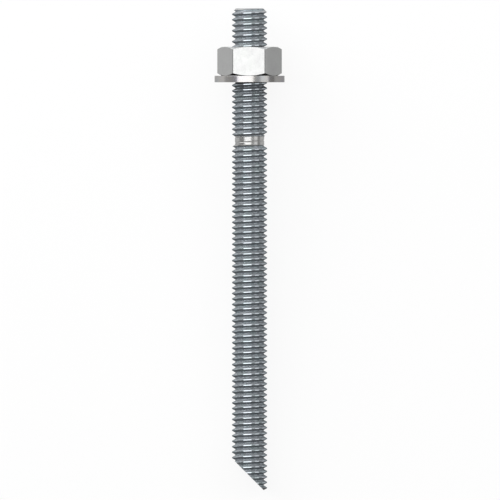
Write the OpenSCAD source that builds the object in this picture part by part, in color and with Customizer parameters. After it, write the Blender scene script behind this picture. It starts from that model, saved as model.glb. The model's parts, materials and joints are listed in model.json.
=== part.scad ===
// Chemical anchor stud with its hex nut and flat washer, all in millimetres.
// It is drawn upright in its own axis, z = 0 at the slanted tip, and then laid
// down by rest(): the washer's rim and the last crest at the tip touch the floor.

/* [Stud] */
// Length of the stud, from the tip to the flat end
stud_l = 110; // [100:5:160]
// Outer diameter of the thread
thread_d = 8; // [7:0.25:8.25]
// Pitch of the thread
pitch = 1.25; // [1:0.05:1.5]
// Height of a thread crest above the tip, on the long side of the stud
crest_z = 0.5; // [0.3:0.05:0.9]
// Chamfer at the flat end
end_chamfer = 0.9; // [0.5:0.1:1.3]
// Angle between the slanted tip and the axis
tip_angle = 45; // [35:5:60]
// Depth of the tip's edge under the thread's outer diameter
tip_edge_in = 0.82; // [0.7:0.02:1.2]

/* [Depth mark] */
// Distance of the mark's middle from the tip
mark_z = 79.8; // [50:0.2:82]
// Width of the plain mark
mark_w = 1.9; // [1:0.1:3]
// Depth of the plain mark under the thread's outer diameter
mark_depth = 0.65; // [0.5:0.05:0.75]
// Width of the slope at each side of the mark
mark_slope = 0.45; // [0.2:0.05:0.8]

/* [Nut] */
// Width of the nut across its flats
nut_af = 12.9; // [12:0.1:14]
// Height of the nut
nut_h = 6.6; // [5:0.2:8]
// Step from the nut's flats in to the round edge of its end faces
nut_face_in = 0.05; // [0.05:0.05:0.6]
// Step from the thread out to the mouth of the nut's countersinks
nut_mouth_out = 0.35; // [0.25:0.05:0.6]
// Height of the thread inside the nut
nut_thread_h = 0.69; // [0.5:0.01:0.72]
// Turn of the nut about the axis, 0 with a flat square to the front
nut_turn = -1.2; // [-30:0.2:30]

/* [Washer] */
// Outer diameter of the washer
washer_d = 16; // [14:0.5:22]
// Thickness of the washer
washer_t = 1.5; // [1:0.1:3]
// Distance of the washer's seat from the flat end
seat_drop = 16.9; // [14:0.1:22]

/* [Clearances] */
// Radial play between the threads of nut and stud
thread_play = 0.12; // [0.08:0.01:0.2]
// Radial play between washer and thread
washer_play = 0.2; // [0.1:0.05:0.4]

/* [Hidden] */
$fn = 96;

// sides of the thread's polygon per turn, on the stud and inside the nut
stud_sides = 16;
nut_sides = 32;
// slope of the nut's chamfers and of its countersinks
nut_chamfer_angle = 30;
mouth_angle = 45;
// depth and crest width of a metric thread, as parts of the pitch
thread_depth = 0.61343 * pitch;
crest_w = pitch / 8;

thread_r = thread_d / 2;
tip_edge_r = thread_r - tip_edge_in;
mark_r = thread_r - mark_depth;
seat_z = stud_l - seat_drop;
nut_z = seat_z + washer_t;
// room by which a cutting shape passes the faces that it cuts
over = 2;

// lying down: the crest that touches the floor and the tilt of the axis
crest_edge_z = crest_z + pitch / 4 - crest_w / 2;
touch_z = crest_edge_z + pitch * ceil((tip_edge_r - crest_edge_z) / pitch);
tilt = atan((washer_d / 2 - thread_r) / (seat_z - touch_z));
axis_lift = washer_d / 2 * cos(tilt) - seat_z * sin(tilt);

// A point of the thread's surface, a turn number and a height over the root line
function helix_point(turn, lift, r) =
    [r * cos(360 * turn), r * sin(360 * turn), pitch * turn + lift];

// Solid rod with a right-hand thread, widened by play, from below z_lo to above
// z_hi. Its surface is one strip, a pitch wide: root line, crest edge, crest edge.
module thread_rod(z_lo, z_hi, sides, play) {
    first_turn = floor((z_lo - crest_z) / pitch) - 1;
    turns = ceil((z_hi - crest_z) / pitch) + 1 - first_turn;
    last = turns * sides;
    root_r = thread_r - thread_depth + play;
    crest_r = thread_r + play;
    lifts = [0, (pitch - crest_w) / 2, (pitch + crest_w) / 2];
    radii = [root_r, crest_r, crest_r];
    rows = len(lifts);
    root_z = crest_z - pitch / 2;
    rim = [for (i = [0 : last], j = [0 : rows - 1])
        helix_point(first_turn + i / sides, root_z + lifts[j], radii[j])];
    low = len(rim);
    high = low + 1;
    middles = [[0, 0, rim[0][2]], [0, 0, rim[low - 1][2]]];
    top_row = last - sides;
    strip = [for (i = [0 : last - 1], j = [0 : rows - 2])
        let (a = rows * i + j, b = a + 1) each [
        [a, b, b + rows],
        [a, b + rows, a + rows]]];
    seam = [for (i = [0 : top_row - 1])
        let (a = rows * i + rows - 1, b = rows * (i + sides)) each [
        [a, b, b + rows],
        [a, b + rows, a + rows]]];
    floor_loop = concat(
        [for (i = [0 : sides]) rows * i],
        [for (j = [rows - 1 : -1 : 1]) j]);
    roof_loop = concat(
        [for (i = [top_row : last]) rows * i + rows - 1],
        [for (j = [rows - 2 : -1 : 0]) rows * last + j]);
    floor_fan = [for (k = [0 : len(floor_loop) - 1])
        [low, floor_loop[k], floor_loop[(k + 1) % len(floor_loop)]]];
    roof_fan = [for (k = [0 : len(roof_loop) - 1])
        [high, roof_loop[(k + 1) % len(roof_loop)], roof_loop[k]]];
    polyhedron(concat(rim, middles), concat(strip, seam, floor_fan, roof_fan));
}

// Round envelope that ends the thread square at the tip and chamfered on top
module stud_envelope() {
    wide = thread_r + over;
    rotate_extrude() polygon([
        [0, 0], [wide, 0],
        [wide, stud_l - end_chamfer - over],
        [thread_r - end_chamfer, stud_l], [0, stud_l]]);
}

// Everything on the short side of the slanted cut
module tip_cut() {
    reach = stud_l / 2;
    translate([tip_edge_r, 0, 0]) rotate([0, -tip_angle, 0])
        translate([-reach, -reach, -reach]) cube([reach, 2 * reach, 2 * reach]);
}

// Ring that leaves the plain mark, with a slope at each side
module mark_cut() {
    wide = thread_r + over;
    rise = (wide - mark_r) * mark_slope / mark_depth;
    half = mark_w / 2;
    translate([0, 0, mark_z]) rotate_extrude() polygon([
        [mark_r, -half], [wide, -half - rise],
        [wide, half + rise], [mark_r, half]]);
}

// Threaded stud: chamfered flat end, plain mark, slanted tip
module threaded_stud() {
    color("silver") difference() {
        intersection() {
            thread_rod(0, stud_l, stud_sides, 0);
            stud_envelope();
        }
        tip_cut();
        mark_cut();
    }
}

// Hexagonal block of the nut with chamfered corners
module nut_block() {
    corner_d = nut_af / cos(30);
    face_r = nut_af / 2 - nut_face_in;
    wide = corner_d / 2 + over;
    drop = (wide - face_r) * tan(nut_chamfer_angle);
    intersection() {
        cylinder(h = nut_h, d = corner_d, $fn = 6);
        rotate_extrude() polygon([
            [0, 0], [face_r, 0], [wide, drop],
            [wide, nut_h - drop], [face_r, nut_h], [0, nut_h]]);
    }
}

// Hole through the nut with a countersink at each end
module nut_hole() {
    mouth_r = thread_r + nut_mouth_out;
    hole_r = thread_r + thread_play - nut_thread_h;
    sink = (mouth_r - hole_r) / tan(mouth_angle);
    step = over * tan(mouth_angle);
    rotate_extrude() polygon([
        [0, -over], [mouth_r + step, -over], [hole_r, sink],
        [hole_r, nut_h - sink], [mouth_r + step, nut_h + over], [0, nut_h + over]]);
}

// Hex nut, its thread in step with the stud's
module hex_nut() {
    color("gainsboro") difference() {
        translate([0, 0, nut_z]) rotate([0, 0, nut_turn]) nut_block();
        translate([0, 0, nut_z]) nut_hole();
        thread_rod(nut_z - pitch, nut_z + nut_h + pitch, nut_sides, thread_play);
    }
}

// Flat washer under the nut
module flat_washer() {
    color("lightgray") translate([0, 0, seat_z]) difference() {
        cylinder(h = washer_t, d = washer_d);
        translate([0, 0, -over])
            cylinder(h = washer_t + 2 * over, r = thread_r + washer_play);
    }
}

// Lays the upright part down: z becomes the floor's x, -y becomes up
module rest() {
    translate([-stud_l / 2 * cos(tilt), 0, axis_lift])
        rotate([0, -tilt, 0]) rotate([-90, 0, 0]) rotate([0, 90, 0]) children();
}

rest() threaded_stud();
rest() hex_nut();
rest() flat_washer();
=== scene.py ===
"""Looks of the anchor stud with its nut and washer: fine threads, zinc finish, floor, light, camera."""

import collections
import json
import math

import bmesh
import bpy
import numpy as np
from mathutils import Matrix, Vector


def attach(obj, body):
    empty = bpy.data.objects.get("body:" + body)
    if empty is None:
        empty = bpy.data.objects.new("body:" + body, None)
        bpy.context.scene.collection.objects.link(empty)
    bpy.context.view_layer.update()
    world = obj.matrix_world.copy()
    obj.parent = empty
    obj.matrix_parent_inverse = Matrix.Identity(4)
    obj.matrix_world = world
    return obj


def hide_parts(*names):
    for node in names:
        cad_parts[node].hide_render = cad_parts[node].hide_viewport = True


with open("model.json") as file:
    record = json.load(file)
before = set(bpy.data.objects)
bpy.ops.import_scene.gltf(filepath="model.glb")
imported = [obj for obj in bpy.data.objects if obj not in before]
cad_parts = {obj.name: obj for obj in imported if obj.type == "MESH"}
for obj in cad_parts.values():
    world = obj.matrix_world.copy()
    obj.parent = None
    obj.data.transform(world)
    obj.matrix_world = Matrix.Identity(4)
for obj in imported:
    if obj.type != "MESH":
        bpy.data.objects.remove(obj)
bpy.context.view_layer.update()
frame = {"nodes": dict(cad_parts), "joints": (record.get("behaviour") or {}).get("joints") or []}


# ---- Sizes ----

# The pieces are drawn in the stud's own frame, in millimetres: z runs along the axis
# from the slanted tip to the nut end, x to the right of the picture and -y to the camera.
MM = 0.001

# Thread: M8 x 1.25, right-hand, in step with the solids
PITCH = 1.25
THREAD_DEPTH = 0.61343 * PITCH
FLANK = math.radians(30)  # half the angle between two flanks
CREST_Z = 0.5  # height of a crest above the tip, on the long side of the stud
CREST_W = 0.19
CREST_ROUND = 0.025  # radius of the crest's edges
ROUND_ANGLES = [math.radians(angle) for angle in (0, 30, 60)]  # points on those edges and the root
STUD_SIDES = 80  # sides a turn, on the stud and in the nut
NUT_SIDES = 72

# Ends of the stud
END_CHAMFER = 0.9
TIP_ANGLE = math.radians(45)
TIP_EDGE_IN = 0.82  # depth of the tip's edge under the thread's outer diameter
TIP_SHADE_HEIGHT = 0.5  # height of the dark band of painted shade at that edge
SLANT_REACH = 40.0  # half the size of the block that cuts the slant

# Depth mark
MARK_Z = 79.8
MARK_W = 1.9
MARK_DEPTH = 0.65
MARK_SLOPE = 0.45  # width of the slope at each side
MARK_TURNED = 0.6  # share of the lower slope that has the mark's finish

# Nut
NUT_AF = 12.9  # width across flats
NUT_TURN = math.radians(-1.2)
NUT_CORNER_ROUND = 0.46
NUT_CORNER_STEPS = 6
NUT_FACE_IN = 0.05  # step from the flats in to the round edge of the end faces
NUT_CHAMFER = math.radians(30)
CHAMFER_UP = (0.3, 0.95)  # least and most of the normals' z on the chamfer at the nut end, the one made paler as painted light
NUT_MOUTH_OUT = 0.35  # step from the thread out to the mouth of the countersinks
NUT_THREAD_H = 0.69  # height of the inner thread
NUT_CREST_W = PITCH / 8
THREAD_PLAY = 0.12

# Washer
WASHER_PLAY = 0.2
WASHER_ROUND = 0.07
WASHER_STEPS = 4

# Mesh work
OVER = 2.0  # room by which a cutting shape passes what it cuts
ROUND_SIDES = 192  # sides of a round shape
WELD = 0.0002  # points that the cuts leave closer together than this become one
NEAR = 0.01  # how far from a plane a face still counts as lying on it
SHARP = math.radians(40)  # edges that turn more than this stay sharp


# ---- Finishes ----

# Finishes of the stud, as the numbers of its materials; the last is a dark band of painted shade at the
# tip's edge
THREAD, TURNED, SAWN, TIP_SHADE = range(4)

# Noise in the zinc: how fine it is (per millimetre), its detail, and the values of it that
# are spread out, for the soft drift of tone, the fine grains and the tool marks
DRIFT_SCALE = 0.35
DRIFT_RANGE = (0.35, 0.65)
GRAIN_SCALE = 9.0
GRAIN_DETAIL = 4.0
TOOL_DETAIL = 2.0
TOOL_RANGE = (0.3, 0.7)
GRAIN_ROUGH = 0.02  # change of roughness by the grains
RELIEF_TOOL = 0.6  # shares of the tool marks and of the grains in the relief
RELIEF_GRAINS = 0.5
RELIEF_DEPTH = 0.02
NO_PAINTED_SIDE_SHADE = (0.0, 1.0, 1.0)  # from x, to x, level of the painted side shade; level 1 paints none

# Flanks of the thread, compared with its rubbed crests: duller, and a little darker as painted shade in the
# grooves
FLANK_GROOVE_SHADE = 0.88
FLANK_ROUGH = 0.36  # added roughness
FLANK_METAL = 0.2
FLANK_GLOSS = 0.0
BLOTCH = 0.12
BLOTCH_SCALE = 2.2
BLOTCH_DETAIL = 4.0
# How much of a flank's finish and painted shade shows from the root (0) to the crest (1)
FLANK_HEIGHTS = ((0.0, 0.15), (0.22, 1.0), (0.94, 1.0), (0.985, 0.0))
# Painted shade and highlight on the flanks over one pitch, from a root up the axis to the next one: the
# flank that faces the tip is darkened as painted shade, the root lightened as a painted highlight
FLANK_PHASE_SHADE = ((0.0, 1.0), (0.1, 0.92), (0.3, 0.56), (0.49, 0.54), (0.54, 0.83), (0.85, 0.83), (1.0, 1.0))


# ---- Picture and studio ----

# Picture: parallel view
PICTURE_PX = 500
PX_PER_MM = 4.379
VIEW_X = 0.10  # point of the own frame at the middle of the picture
VIEW_Z = 54.8
CAMERA_DISTANCE = 300.0
CAMERA_CLIP = 0.01  # nearest that the camera sees, in metres

# Softboxes: level, span of degrees round the axis (0 in front, positive to the right), span
# of z and distance
SOFTBOXES = {
    "front_softbox": (2.8, (-41, 12.5), (-105, 300), 1500.0),
    "left_softbox": (3.8, (-95, -42), (270, 1000), 600.0),
    "top_softbox": (0.7, (-50, 16), (200, 600), 600.0),
    "gap_softbox": (0.3, (12.5, 36), (-105, 800), 600.0),
    "side_softbox": (1.2, (36, 65), (-30, 800), 600.0),
}

# Surrounding light, with its levels along the stud, from behind the tip (-1) to behind the
# nut end (1)
WORLD_ALONG = ((-1.0, 0.14), (-0.25, 0.04), (-0.02, 0.46), (0.2, 0.5), (0.6, 1.0), (1.0, 1.0))
WORLD_SIDES = (1.0, 0.78)  # shares on the left and on the right of the picture
WORLD_HORIZON = 1.3  # share at the horizon, which falls to 1 at HORIZON_TOP
HORIZON_TOP = 0.6

# Floor, in metres
FLOOR_REACH = 4.0  # half its width
FLOOR_SHEETS = (-0.01 * MM, -0.15)  # heights of the floor and of the sheet far under it
FLOOR_WHITE = 0.88  # share of the floor that is plain white
FLOOR_TONES = (0.5, 0.95)  # of the rest, for bounced light and for the camera


# ---- Own frame ----

def joint(name):
    """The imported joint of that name."""
    return next(j for j in frame["joints"] if j["name"] == name)


def own_frame():
    """Matrix from the stud's own frame, in millimetres, to the row frame, in metres."""
    turn = joint("nut_turn")
    point = Vector(turn["pos_m"])
    along = Vector(turn["axis"]).normalized()
    right = Vector((0, -1, 0))
    stud = frame["nodes"]["threaded_stud"].data
    tip = point + along * min((v.co - point).dot(along) for v in stud.vertices)
    turned = Matrix((right, along.cross(right), along)).transposed().to_4x4()
    return Matrix.Translation(tip) @ turned @ Matrix.Scale(MM, 4)


PLACE = own_frame()


def own_reach(node):
    """Lowest and highest z of a CAD node in the own frame, and its largest radius."""
    inverse = PLACE.inverted()
    points = [inverse @ v.co for v in frame["nodes"][node].data.vertices]
    heights = [p.z for p in points]
    return min(heights), max(heights), max(math.hypot(p.x, p.y) for p in points)


_, STUD_L, THREAD_R = own_reach("threaded_stud")
NUT_Z, NUT_TOP, _ = own_reach("hex_nut")
SEAT_Z, WASHER_TOP, WASHER_R = own_reach("flat_washer")
ROOT_R = THREAD_R - THREAD_DEPTH
MARK_R = THREAD_R - MARK_DEPTH


# ---- Shapes ----

def new_object(name, data):
    """A linked object that holds that data."""
    made = bpy.data.objects.new(name, data)
    bpy.context.scene.collection.objects.link(made)
    return made


def solid(name, points, faces):
    """An object from points and faces, its faces all turned outward."""
    mesh = bpy.data.meshes.new(name)
    mesh.from_pydata(points, [], faces)
    shape = bmesh.new()
    shape.from_mesh(mesh)
    bmesh.ops.recalc_face_normals(shape, faces=shape.faces)
    if shape.calc_volume(signed=True) < 0:
        bmesh.ops.reverse_faces(shape, faces=shape.faces)
    shape.to_mesh(mesh)
    shape.free()
    return new_object(name, mesh)


def revolved(name, outline, sides=ROUND_SIDES):
    """A closed outline of (radius, z) turned round the axis; points on the axis stay single."""
    points, rings = [], []
    for r, z in outline:
        turns = sides if r > 0 else 1
        rings.append([len(points) + k for k in range(turns)])
        for k in range(turns):
            angle = 2 * math.pi * k / sides
            points.append((r * math.cos(angle), r * math.sin(angle), z))
    faces = []
    for low, high in zip(rings, rings[1:] + rings[:1]):
        if len(low) == len(high) == 1:
            continue
        for k in range(sides):
            corners = [low[k % len(low)], low[(k + 1) % len(low)],
                       high[(k + 1) % len(high)], high[k % len(high)]]
            faces.append(list(dict.fromkeys(corners)))
    return solid(name, points, faces)


def extruded(name, outline, z_low, z_high):
    """A flat outline of (x, y) raised from z_low to z_high."""
    count = len(outline)
    points = [(x, y, z) for z in (z_low, z_high) for x, y in outline]
    sides = [[k, (k + 1) % count, count + (k + 1) % count, count + k] for k in range(count)]
    caps = [list(range(count)), list(range(count, 2 * count))]
    return solid(name, points, sides + caps)


def threaded(name, rows, z_low, z_high, sides):
    """A threaded rod from below z_low to above z_high. Its surface is one strip, a pitch
    wide and wound up the axis; rows are its (lift over the root line, radius)."""
    width = len(rows)
    root_z = CREST_Z - PITCH / 2
    first = math.floor((z_low - CREST_Z) / PITCH) - 1
    last = (math.ceil((z_high - CREST_Z) / PITCH) + 1 - first) * sides
    turn = first + np.arange(last + 1)[:, None] / sides
    lift, radius = np.array(rows).T
    z = root_z + PITCH * turn + lift
    x = radius * np.cos(2 * math.pi * turn)
    y = radius * np.sin(2 * math.pi * turn)
    points = np.stack([x, y, z], -1).reshape(-1, 3).tolist()
    spot = np.arange((last + 1) * width).reshape(last + 1, width)
    strip = np.stack([spot[:-1, :-1], spot[1:, :-1], spot[1:, 1:], spot[:-1, 1:]], -1)
    top = last - sides
    low, high = spot[:top + 1, -1], spot[sides:, 0]
    seam = np.stack([low[:-1], low[1:], high[1:], high[:-1]], -1)
    faces = strip.reshape(-1, 4).tolist() + seam.tolist()
    floor_loop = spot[:sides + 1, 0].tolist() + spot[0, :0:-1].tolist()
    roof_loop = spot[top:, -1].tolist() + spot[last, -2::-1].tolist()
    for loop, height in ((floor_loop[::-1], z[0, 0]), (roof_loop, z[last, -1])):
        middle = len(points)
        points.append((0.0, 0.0, float(height)))
        faces += [[middle, a, b] for a, b in zip(loop, loop[1:] + loop[:1])]
    return solid(name, points, faces)


def apply_modifiers(piece):
    """Turns a piece's modifiers into its mesh, while it is still in millimetres."""
    graph = bpy.context.evaluated_depsgraph_get()
    result = bpy.data.meshes.new_from_object(piece.evaluated_get(graph))
    piece.modifiers.clear()
    piece.data = result


def cut(piece, tool, operation="DIFFERENCE"):
    """Cuts a piece with a tool, or keeps what they share, and removes the tool."""
    step = piece.modifiers.new("cut", "BOOLEAN")
    step.operation = operation
    step.solver = "MANIFOLD"
    step.object = tool
    apply_modifiers(piece)
    bpy.data.objects.remove(tool)
    return piece


def welded(piece):
    """The piece with the points merged that its cuts left on top of each other."""
    shape = bmesh.new()
    shape.from_mesh(piece.data)
    bmesh.ops.dissolve_degenerate(shape, dist=WELD, edges=shape.edges)
    shape.to_mesh(piece.data)
    shape.free()
    return piece


def arc(centre, radius, start, end, steps):
    """Points on an arc about centre, angles in degrees."""
    angles = [math.radians(start + (end - start) * k / steps) for k in range(steps + 1)]
    return [(centre[0] + radius * math.cos(a), centre[1] + radius * math.sin(a)) for a in angles]


# ---- Stud ----

def outer_thread_rows():
    """One pitch of the stud's profile: round root, straight flanks, crest with round edges."""
    apex_r = THREAD_R - (PITCH - CREST_W) / 2 / math.tan(FLANK)
    root_round = ROOT_R - apex_r
    root = [(root_round * math.sin(a), ROOT_R + root_round * (1 - math.cos(a))) for a in ROUND_ANGLES]
    flat = CREST_W / 2 - CREST_ROUND * math.tan(FLANK)
    crest = [(PITCH / 2 - flat - CREST_ROUND * math.sin(a), THREAD_R - CREST_ROUND * (1 - math.cos(a)))
             for a in reversed(ROUND_ANGLES)]
    rising = root + crest
    falling = [(PITCH - lift, radius) for lift, radius in rising[:0:-1]]
    return rising + falling


def stud_envelope():
    """Round shape that ends the thread square at the tip and chamfered at the other end."""
    wide = THREAD_R + OVER
    return revolved("envelope", [
        (0, 0), (wide, 0), (wide, STUD_L - END_CHAMFER - OVER),
        (THREAD_R - END_CHAMFER, STUD_L), (0, STUD_L)])


def mark_ring():
    """Ring that leaves the plain mark, with a slope at each side."""
    wide = THREAD_R + OVER
    half = MARK_W / 2
    slope = (OVER + MARK_DEPTH) * MARK_SLOPE / MARK_DEPTH
    return revolved("mark", [
        (MARK_R, MARK_Z - half), (wide, MARK_Z - half - slope),
        (wide, MARK_Z + half + slope), (MARK_R, MARK_Z + half)])


def slant_block():
    """Block that takes away what lies over the slanted tip."""
    reach = SLANT_REACH
    block = extruded("slant", [(-reach, -reach), (0, -reach), (0, reach), (-reach, reach)], -reach, reach)
    edge = Matrix.Translation((THREAD_R - TIP_EDGE_IN, 0, 0))
    block.data.transform(edge @ Matrix.Rotation(-TIP_ANGLE, 4, "Y"))
    return block


def stud_shape():
    """The stud: thread, chamfered end, plain mark, slanted tip."""
    stud = threaded("stud", outer_thread_rows(), 0, STUD_L, STUD_SIDES)
    cut(stud, stud_envelope(), "INTERSECT")
    cut(stud, mark_ring())
    return welded(cut(stud, slant_block()))


def stud_finish(middle):
    """Finish of the stud at a point: thread, turned mark, sawn tip and end, or the dark band of
    painted shade at the tip's edge. All over the slanted tip, at 45 degrees, x + z is the same."""
    if -MARK_W / 2 - MARK_TURNED * MARK_SLOPE < middle.z - MARK_Z < MARK_W / 2:
        return TURNED
    end_drop = max(0, math.hypot(middle.x, middle.y) - (THREAD_R - END_CHAMFER))
    on_end = STUD_L - middle.z < end_drop + NEAR
    on_slant = middle.x + middle.z < THREAD_R - TIP_EDGE_IN + NEAR
    if on_end or on_slant:
        return SAWN
    return TIP_SHADE if middle.z < TIP_SHADE_HEIGHT else THREAD


# ---- Nut and washer ----

def inner_thread_rows():
    """One pitch of the hole in the nut: flat between the threads, flanks, groove."""
    groove_r = THREAD_R + THREAD_PLAY
    hole_r = groove_r - NUT_THREAD_H
    groove = (PITCH - NUT_CREST_W) / 2
    edge = groove - NUT_THREAD_H * math.tan(FLANK)
    return [(edge, hole_r), (groove, groove_r), (PITCH - groove, groove_r), (PITCH - edge, hole_r)]


def hexagon():
    """The nut's outline with rounded corners, one flat facing the camera."""
    half_corner = math.radians(30)
    reach = (NUT_AF / 2 - NUT_CORNER_ROUND) / math.cos(half_corner)
    outline = []
    for k in range(6):
        angle = 60 * k + math.degrees(NUT_TURN)
        middle = (reach * math.cos(math.radians(angle)), reach * math.sin(math.radians(angle)))
        outline += arc(middle, NUT_CORNER_ROUND, angle - 30, angle + 30, NUT_CORNER_STEPS)
    return outline


def nut_envelope():
    """Round shape that chamfers the nut's corners at both ends."""
    face_r = NUT_AF / 2 - NUT_FACE_IN
    wide = NUT_AF / 2 + OVER
    drop = (wide - face_r) * math.tan(NUT_CHAMFER)
    return revolved("chamfers", [
        (0, NUT_Z), (face_r, NUT_Z), (wide, NUT_Z + drop),
        (wide, NUT_TOP - drop), (face_r, NUT_TOP), (0, NUT_TOP)])


def countersink(face_z, way):
    """Cone for the mouth of the nut's hole, from a face and in the way (1 up, -1 down)."""
    mouth_r = THREAD_R + NUT_MOUTH_OUT
    return revolved("sink", [
        (0, face_z - way * OVER), (mouth_r + OVER, face_z - way * OVER),
        (0, face_z + way * mouth_r)], NUT_SIDES * 2)


def nut_shape():
    """The hex nut: chamfered block, inner thread, countersinks."""
    nut = extruded("nut", hexagon(), NUT_Z, NUT_TOP)
    cut(nut, nut_envelope(), "INTERSECT")
    cut(nut, threaded("tap", inner_thread_rows(), NUT_Z - PITCH, NUT_TOP + PITCH, NUT_SIDES))
    cut(nut, countersink(NUT_Z, 1))
    return welded(cut(nut, countersink(NUT_TOP, -1)))


def nut_finish(face):
    """Finish of a face of the nut: 1 on the chamfer at the nut end, made paler as painted light, 0
    elsewhere.
    """
    outside = math.hypot(face.center.x, face.center.y) > NUT_AF / 2 - NUT_FACE_IN
    return int(outside and CHAMFER_UP[0] < face.normal.z < CHAMFER_UP[1])


def washer_shape():
    """The flat washer with softly rounded edges."""
    hole_r = THREAD_R + WASHER_PLAY
    low, high = SEAT_Z + WASHER_ROUND, WASHER_TOP - WASHER_ROUND
    outer, inner = WASHER_R - WASHER_ROUND, hole_r + WASHER_ROUND
    corners = (((outer, low), -90), ((outer, high), 0), ((inner, high), 90), ((inner, low), 180))
    outline = []
    for centre, start in corners:
        outline += arc(centre, WASHER_ROUND, start, start + 90, WASHER_STEPS)
    return revolved("washer", outline)


# ---- Materials ----

# A surface point in the own frame, with its x, its z, its radius and its angle round the axis
Spot = collections.namedtuple("Spot", "point x z radius around")


class Nodes:
    """Short ways to make and join the nodes of one material or world."""

    def __init__(self, owner):
        owner.use_nodes = True
        self.tree = owner.node_tree

    def add(self, kind, settings=(), **inputs):
        """A new node. An input goes by its label, with _ for a space, or by its number as _0."""
        node = self.tree.nodes.new(kind)
        for key, value in dict(settings).items():
            setattr(node, key, value)
        for key, value in inputs.items():
            number = key[1:]
            socket = node.inputs[int(number) if number.isdigit() else key.replace("_", " ")]
            if isinstance(value, bpy.types.NodeSocket):
                self.tree.links.new(value, socket)
            else:
                socket.default_value = value
        return node

    def join(self, output, node_name, label):
        """Links an output to an input of a node that is there from the start."""
        self.tree.links.new(output, self.tree.nodes[node_name].inputs[label])

    def math(self, operation, a, b=0.0):
        """Result of a maths node."""
        return self.add("ShaderNodeMath", {"operation": operation}, _0=a, _1=b).outputs[0]

    def product(self, a, b):
        """a times b."""
        return self.math("MULTIPLY", a, b)

    def total(self, a, b):
        """a plus b."""
        return self.math("ADD", a, b)

    def scaled(self, colour, factor):
        """A colour times a number."""
        node = self.add("ShaderNodeVectorMath", {"operation": "SCALE"}, _0=colour, Scale=factor)
        return node.outputs[0]

    def noise(self, vector, scale, detail=3.0):
        """Value of a noise texture."""
        return self.add("ShaderNodeTexNoise", Vector=vector, Scale=scale, Detail=detail).outputs["Fac"]

    def ramp(self, value, stops):
        """Colour ramp with stops of (position, colour or grey level)."""
        node = self.add("ShaderNodeValToRGB", Fac=value)
        elements = node.color_ramp.elements
        while len(elements) < len(stops):
            elements.new(1.0)
        for element, (position, tone) in zip(elements, stops):
            colour = tone if isinstance(tone, tuple) else (tone,) * 3
            element.position = position
            element.color = (*colour, 1)
        return node.outputs["Color"]

    def spread(self, value, low, high, to_low, to_high):
        """A value from low to high spread over to_low to to_high, and held at its ends."""
        node = self.add("ShaderNodeMapRange", Value=value, From_Min=low, From_Max=high,
                        To_Min=to_low, To_Max=to_high)
        return node.outputs["Result"]

    def spot(self):
        """The surface point in the stud's own frame, in millimetres."""
        place, turn, scale = PLACE.inverted().decompose()
        row_point = self.add("ShaderNodeTexCoord").outputs["Object"]
        point = self.add("ShaderNodeMapping", Vector=row_point, Location=place,
                         Rotation=turn.to_euler(), Scale=scale).outputs["Vector"]
        x, y, z = self.add("ShaderNodeSeparateXYZ", Vector=point).outputs
        squares = self.total(self.math("POWER", x, 2.0), self.math("POWER", y, 2.0))
        return Spot(point, x, z, self.math("SQRT", squares), self.math("ARCTAN2", y, x))


def drifting_tone_and_side_shade(nodes, spot, tones, painted_side_shade):
    """Tones that drift softly into each other, and painted shade (from x, to x, level) that darkens one
    side.
    """
    drift = nodes.spread(nodes.noise(spot.point, DRIFT_SCALE), *DRIFT_RANGE, 0.0, 1.0)
    tone = nodes.ramp(drift, [(k / (len(tones) - 1), colour) for k, colour in enumerate(tones)])
    # painted shade: darker towards higher x, on one side of the piece
    return nodes.scaled(tone, nodes.spread(spot.x, painted_side_shade[0], painted_side_shade[1], 1.0, painted_side_shade[2]))


def tool_marks(nodes, spot, scales):
    """Noise drawn out by the tool, with scales outward, round the axis and along it."""
    stretched = nodes.add("ShaderNodeCombineXYZ",
                          X=nodes.product(spot.radius, scales[0]),
                          Y=nodes.product(spot.around, scales[1]),
                          Z=nodes.product(spot.z, scales[2]))
    return nodes.noise(stretched.outputs[0], 1.0, TOOL_DETAIL)


def flank_shade(nodes, spot):
    """Tone of the thread's flanks: random blotches, and painted shade on the flank that faces the tip with a
    painted highlight at the root, found from the place between two roots.
    """
    blotches = nodes.spread(nodes.noise(spot.point, BLOTCH_SCALE, BLOTCH_DETAIL), *DRIFT_RANGE,
                            1.0 + BLOTCH, 1.0 - BLOTCH)
    # painted shade and highlight: the flank that faces the tip darkens and the root lightens, by the place
    # in the pitch
    wound = nodes.math("SUBTRACT", nodes.product(spot.z, 1 / PITCH),
                       nodes.product(spot.around, 1 / (2 * math.pi)))
    phase = nodes.math("FRACT", nodes.total(wound, 0.5 - CREST_Z / PITCH))
    return nodes.product(nodes.product(blotches, FLANK_GROOVE_SHADE), nodes.ramp(phase, FLANK_PHASE_SHADE))


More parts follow.
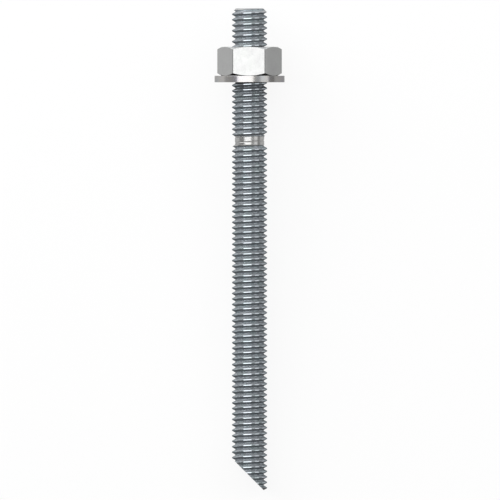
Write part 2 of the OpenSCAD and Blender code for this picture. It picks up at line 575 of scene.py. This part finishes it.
def zinc(name, tones, roughness, marks, edge=0.4, bump=0.08, metal=1.0, painted_side_shade=NO_PAINTED_SIDE_SHADE, thread=False):
    """Zinc plated steel. Its tones drift into each other and roughness is the range of its
    roughness. marks scales its tool marks, edge tints what it mirrors at a flat angle, bump is
    the strength of its relief, the side shade (from x, to x, level) darkens one side of it as
    painted shade, and a thread has dull flanks with painted shade in its grooves."""
    material = bpy.data.materials.new(name)
    nodes = Nodes(material)
    spot = nodes.spot()
    worked = tool_marks(nodes, spot, marks)
    grains = nodes.noise(spot.point, GRAIN_SCALE, GRAIN_DETAIL)
    tone = drifting_tone_and_side_shade(nodes, spot, tones, painted_side_shade)
    rough = nodes.total(nodes.spread(worked, *TOOL_RANGE, *roughness),
                        nodes.spread(grains, *TOOL_RANGE, -GRAIN_ROUGH, GRAIN_ROUGH))
    shader = material.node_tree.nodes["Principled BSDF"].inputs
    if thread:
        flank = nodes.ramp(nodes.spread(spot.radius, ROOT_R, THREAD_R, 0.0, 1.0), FLANK_HEIGHTS)
        # painted shade: the flanks take the darker tone of flank_shade
        tone = nodes.scaled(tone, nodes.spread(flank, 0.0, 1.0, 1.0, flank_shade(nodes, spot)))
        rough = nodes.total(rough, nodes.product(flank, FLANK_ROUGH))
        nodes.join(nodes.spread(flank, 0.0, 1.0, 1.0, FLANK_METAL), "Principled BSDF", "Metallic")
        shader["Specular IOR Level"].default_value = FLANK_GLOSS
    height = nodes.total(nodes.product(worked, RELIEF_TOOL), nodes.product(grains, RELIEF_GRAINS))
    relief = nodes.add("ShaderNodeBump", Height=height, Strength=bump, Distance=RELIEF_DEPTH * MM)
    nodes.join(tone, "Principled BSDF", "Base Color")
    nodes.join(rough, "Principled BSDF", "Roughness")
    nodes.join(relief.outputs["Normal"], "Principled BSDF", "Normal")
    shader["Metallic"].default_value = metal
    shader["Specular Tint"].default_value = (edge, edge, edge, 1)
    return material


def thread_zinc():
    """Bluish zinc of the thread, with rubbed crests and dull flanks darkened by painted shade."""
    return zinc("stud_thread", tones=((0.385, 0.436, 0.463), (0.41, 0.436, 0.468), (0.395, 0.446, 0.463)),
                roughness=(0.07, 0.10), marks=(4.0, 1.2, 6.0), edge=0.15, bump=0.02, thread=True)


def turned_zinc():
    """The plain depth mark, turned into the thread."""
    return zinc("stud_turned", tones=((0.37, 0.372, 0.37), (0.395, 0.392, 0.384)),
                roughness=(0.20, 0.26), marks=(4.0, 1.2, 6.0), edge=0.7, metal=0.9)


def sawn_zinc():
    """The slanted tip and the flat end with its chamfer."""
    return zinc("stud_sawn", tones=((0.42, 0.43, 0.44), (0.48, 0.48, 0.475)),
                roughness=(0.22, 0.50), marks=(1.2, 0.4, 3.0), edge=0.7, bump=0.4, metal=0.8)


def tip_shade_zinc():
    """Painted shade: a dark band on the thread at the edge of the slanted tip."""
    return zinc("stud_tip_shade", tones=((0.05, 0.052, 0.055), (0.08, 0.08, 0.08)),
                roughness=(0.4, 0.5), marks=(1.2, 0.4, 3.0), edge=0.1, bump=0.3, metal=0.5)


def nut_zinc():
    """Smooth neutral zinc of the nut, its right flat darkened by painted shade."""
    return zinc("nut_finish", tones=((0.34, 0.34, 0.34), (0.36, 0.365, 0.36)),
                roughness=(0.16, 0.22), marks=(5.0, 3.0, 0.8), edge=1.0, metal=0.93, painted_side_shade=(3.3, 4.2, 0.78))


def lit_chamfer_zinc():
    """Turned, less metallic zinc of the chamfer at the nut end, paler as painted light; the chamfer at the
    washer keeps the nut's zinc.
    """
    return zinc("nut_chamfer_lit", tones=((0.58, 0.60, 0.61), (0.62, 0.62, 0.61)),
                roughness=(0.34, 0.42), marks=(5.0, 0.6, 6.0), metal=0.5)


def washer_zinc():
    """Bright zinc of the washer, its right side darkened by painted shade."""
    return zinc("washer_finish", tones=((0.37, 0.38, 0.39), (0.40, 0.39, 0.375), (0.39, 0.38, 0.40)),
                roughness=(0.16, 0.24), marks=(5.0, 0.6, 8.0), edge=0.6, metal=0.88, painted_side_shade=(4.2, 5.4, 0.72))


# ---- Pieces ----

def finish_piece(piece, name, node, body, materials, finishes):
    """Shades a piece, places it in the row frame, gives it its body and materials and hides the CAD node it
    stands for.
    finishes holds, for each face, the number of its material."""
    piece.name = name
    piece.data.name = name
    piece.data.shade_smooth()
    piece.data.set_sharp_from_angle(angle=SHARP)
    piece.data.materials.clear()
    for material in materials:
        piece.data.materials.append(material)
    weights = piece.modifiers.new("weights", "WEIGHTED_NORMAL")
    weights.keep_sharp = True
    apply_modifiers(piece)
    piece.data.polygons.foreach_set("material_index", finishes)
    piece.data.transform(PLACE)
    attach(piece, body)
    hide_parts(node)


def make_stud():
    """The stud in its four finishes, one of them a band of painted shade at the tip's edge."""
    piece = stud_shape()
    finishes = [stud_finish(face.center) for face in piece.data.polygons]
    materials = [thread_zinc(), turned_zinc(), sawn_zinc(), tip_shade_zinc()]
    finish_piece(piece, "stud_fine", node="threaded_stud", body="stud",
                 materials=materials, finishes=finishes)


def make_nut():
    """The nut, with its chamfer at the nut end made paler as painted light."""
    piece = nut_shape()
    finishes = [nut_finish(face) for face in piece.data.polygons]
    finish_piece(piece, "nut_fine", node="hex_nut", body="nut",
                 materials=[nut_zinc(), lit_chamfer_zinc()], finishes=finishes)


def make_washer():
    """The washer in one finish."""
    piece = washer_shape()
    finishes = [0] * len(piece.data.polygons)
    finish_piece(piece, "washer_fine", node="flat_washer", body="washer",
                 materials=[washer_zinc()], finishes=finishes)


# ---- Camera, light and floor ----

def facing(z, distance, angle=0.0, x=0.0):
    """Row-frame matrix of a thing that looks square at the axis, from an angle round it
    (0 in front, positive to the right), a distance and a z; x shifts it sideways."""
    place, turn, _ = PLACE.decompose()
    own = Matrix.Translation(place) @ turn.to_matrix().to_4x4()
    around = Matrix.Rotation(angle, 4, "Z") @ Matrix.Translation((x * MM, -distance * MM, z * MM))
    return own @ around @ Matrix.Rotation(math.pi / 2, 4, "X")


def make_camera():
    """Parallel view square to the stud's axis, as in the photograph."""
    data = bpy.data.cameras.new("camera")
    data.type = "ORTHO"
    data.ortho_scale = PICTURE_PX / PX_PER_MM * MM
    data.clip_start = CAMERA_CLIP
    camera = new_object("camera", data)
    camera.matrix_world = facing(VIEW_Z, CAMERA_DISTANCE, x=VIEW_X)
    bpy.context.scene.camera = camera


def softbox(name, level, angles, z_span, distance):
    """A panel that faces the stud, over a span of angles round its axis and of z along it."""
    middle = math.radians(sum(angles) / 2)
    half = math.radians(angles[1] - angles[0]) / 2
    data = bpy.data.lights.new(name, "AREA")
    data.shape = "RECTANGLE"
    data.size = 2 * distance * math.tan(half) * MM
    data.size_y = (z_span[1] - z_span[0]) * MM
    data.energy = level * math.pi * data.size * data.size_y
    lamp = new_object(name, data)
    lamp.matrix_world = facing(sum(z_span) / 2, distance, middle)
    lamp.visible_camera = False


def make_world():
    """Soft light from all round, stronger from the nut end than from the tip."""
    world = bpy.data.worlds.new("studio")
    bpy.context.scene.world = world
    nodes = Nodes(world)
    way = nodes.add("ShaderNodeTexCoord").outputs["Generated"]
    x, y, z = nodes.add("ShaderNodeSeparateXYZ", Vector=way).outputs
    along = nodes.ramp(nodes.spread(x, -1.0, 1.0, 0.0, 1.0),
                       [((place + 1) / 2, level) for place, level in WORLD_ALONG])
    sweep = nodes.spread(z, 0.0, HORIZON_TOP, WORLD_HORIZON, 1.0)
    across = nodes.spread(y, 1.0, -1.0, *WORLD_SIDES)
    nodes.tree.nodes["Background"].inputs["Color"].default_value = (1, 1, 1, 1)
    nodes.join(nodes.product(nodes.product(along, sweep), across), "Background", "Strength")


def white_sheet(name, share):
    """White for the camera and for mirrors, lit only by what share leaves over."""
    material = bpy.data.materials.new(name)
    nodes = Nodes(material)
    path = nodes.add("ShaderNodeLightPath").outputs
    seen = nodes.math("MAXIMUM", path["Is Camera Ray"], path["Is Glossy Ray"])
    seen = nodes.math("MAXIMUM", seen, path["Is Transmission Ray"])
    lit = nodes.add("ShaderNodeBsdfDiffuse", Color=nodes.spread(seen, 0.0, 1.0, *FLOOR_TONES))
    white = nodes.add("ShaderNodeEmission", Color=(1, 1, 1, 1), Strength=1.0)
    both = nodes.add("ShaderNodeMixShader", _0=nodes.product(seen, share),
                     _1=lit.outputs[0], _2=white.outputs[0])
    nodes.join(both.outputs[0], "Material Output", "Surface")
    return material


def make_floor():
    """Plain white floor that keeps a soft shadow, and a white sheet far under it for low views."""
    mesh = bpy.data.meshes.new("floor")
    corners = [(x * FLOOR_REACH, y * FLOOR_REACH) for x, y in ((-1, -1), (1, -1), (1, 1), (-1, 1))]
    mesh.from_pydata([(x, y, z) for z in FLOOR_SHEETS for x, y in corners], [], [(0, 1, 2, 3), (4, 5, 6, 7)])
    mesh.materials.append(white_sheet("floor_white", FLOOR_WHITE))
    mesh.materials.append(white_sheet("under_white", 1.0))
    mesh.polygons[1].material_index = 1
    new_object("floor", mesh)


# ---- The scene ----

make_camera()
make_world()
make_floor()
for name, setting in SOFTBOXES.items():
    softbox(name, *setting)

make_stud()
make_nut()
make_washer()

bpy.context.scene.view_settings.view_transform = "Standard"
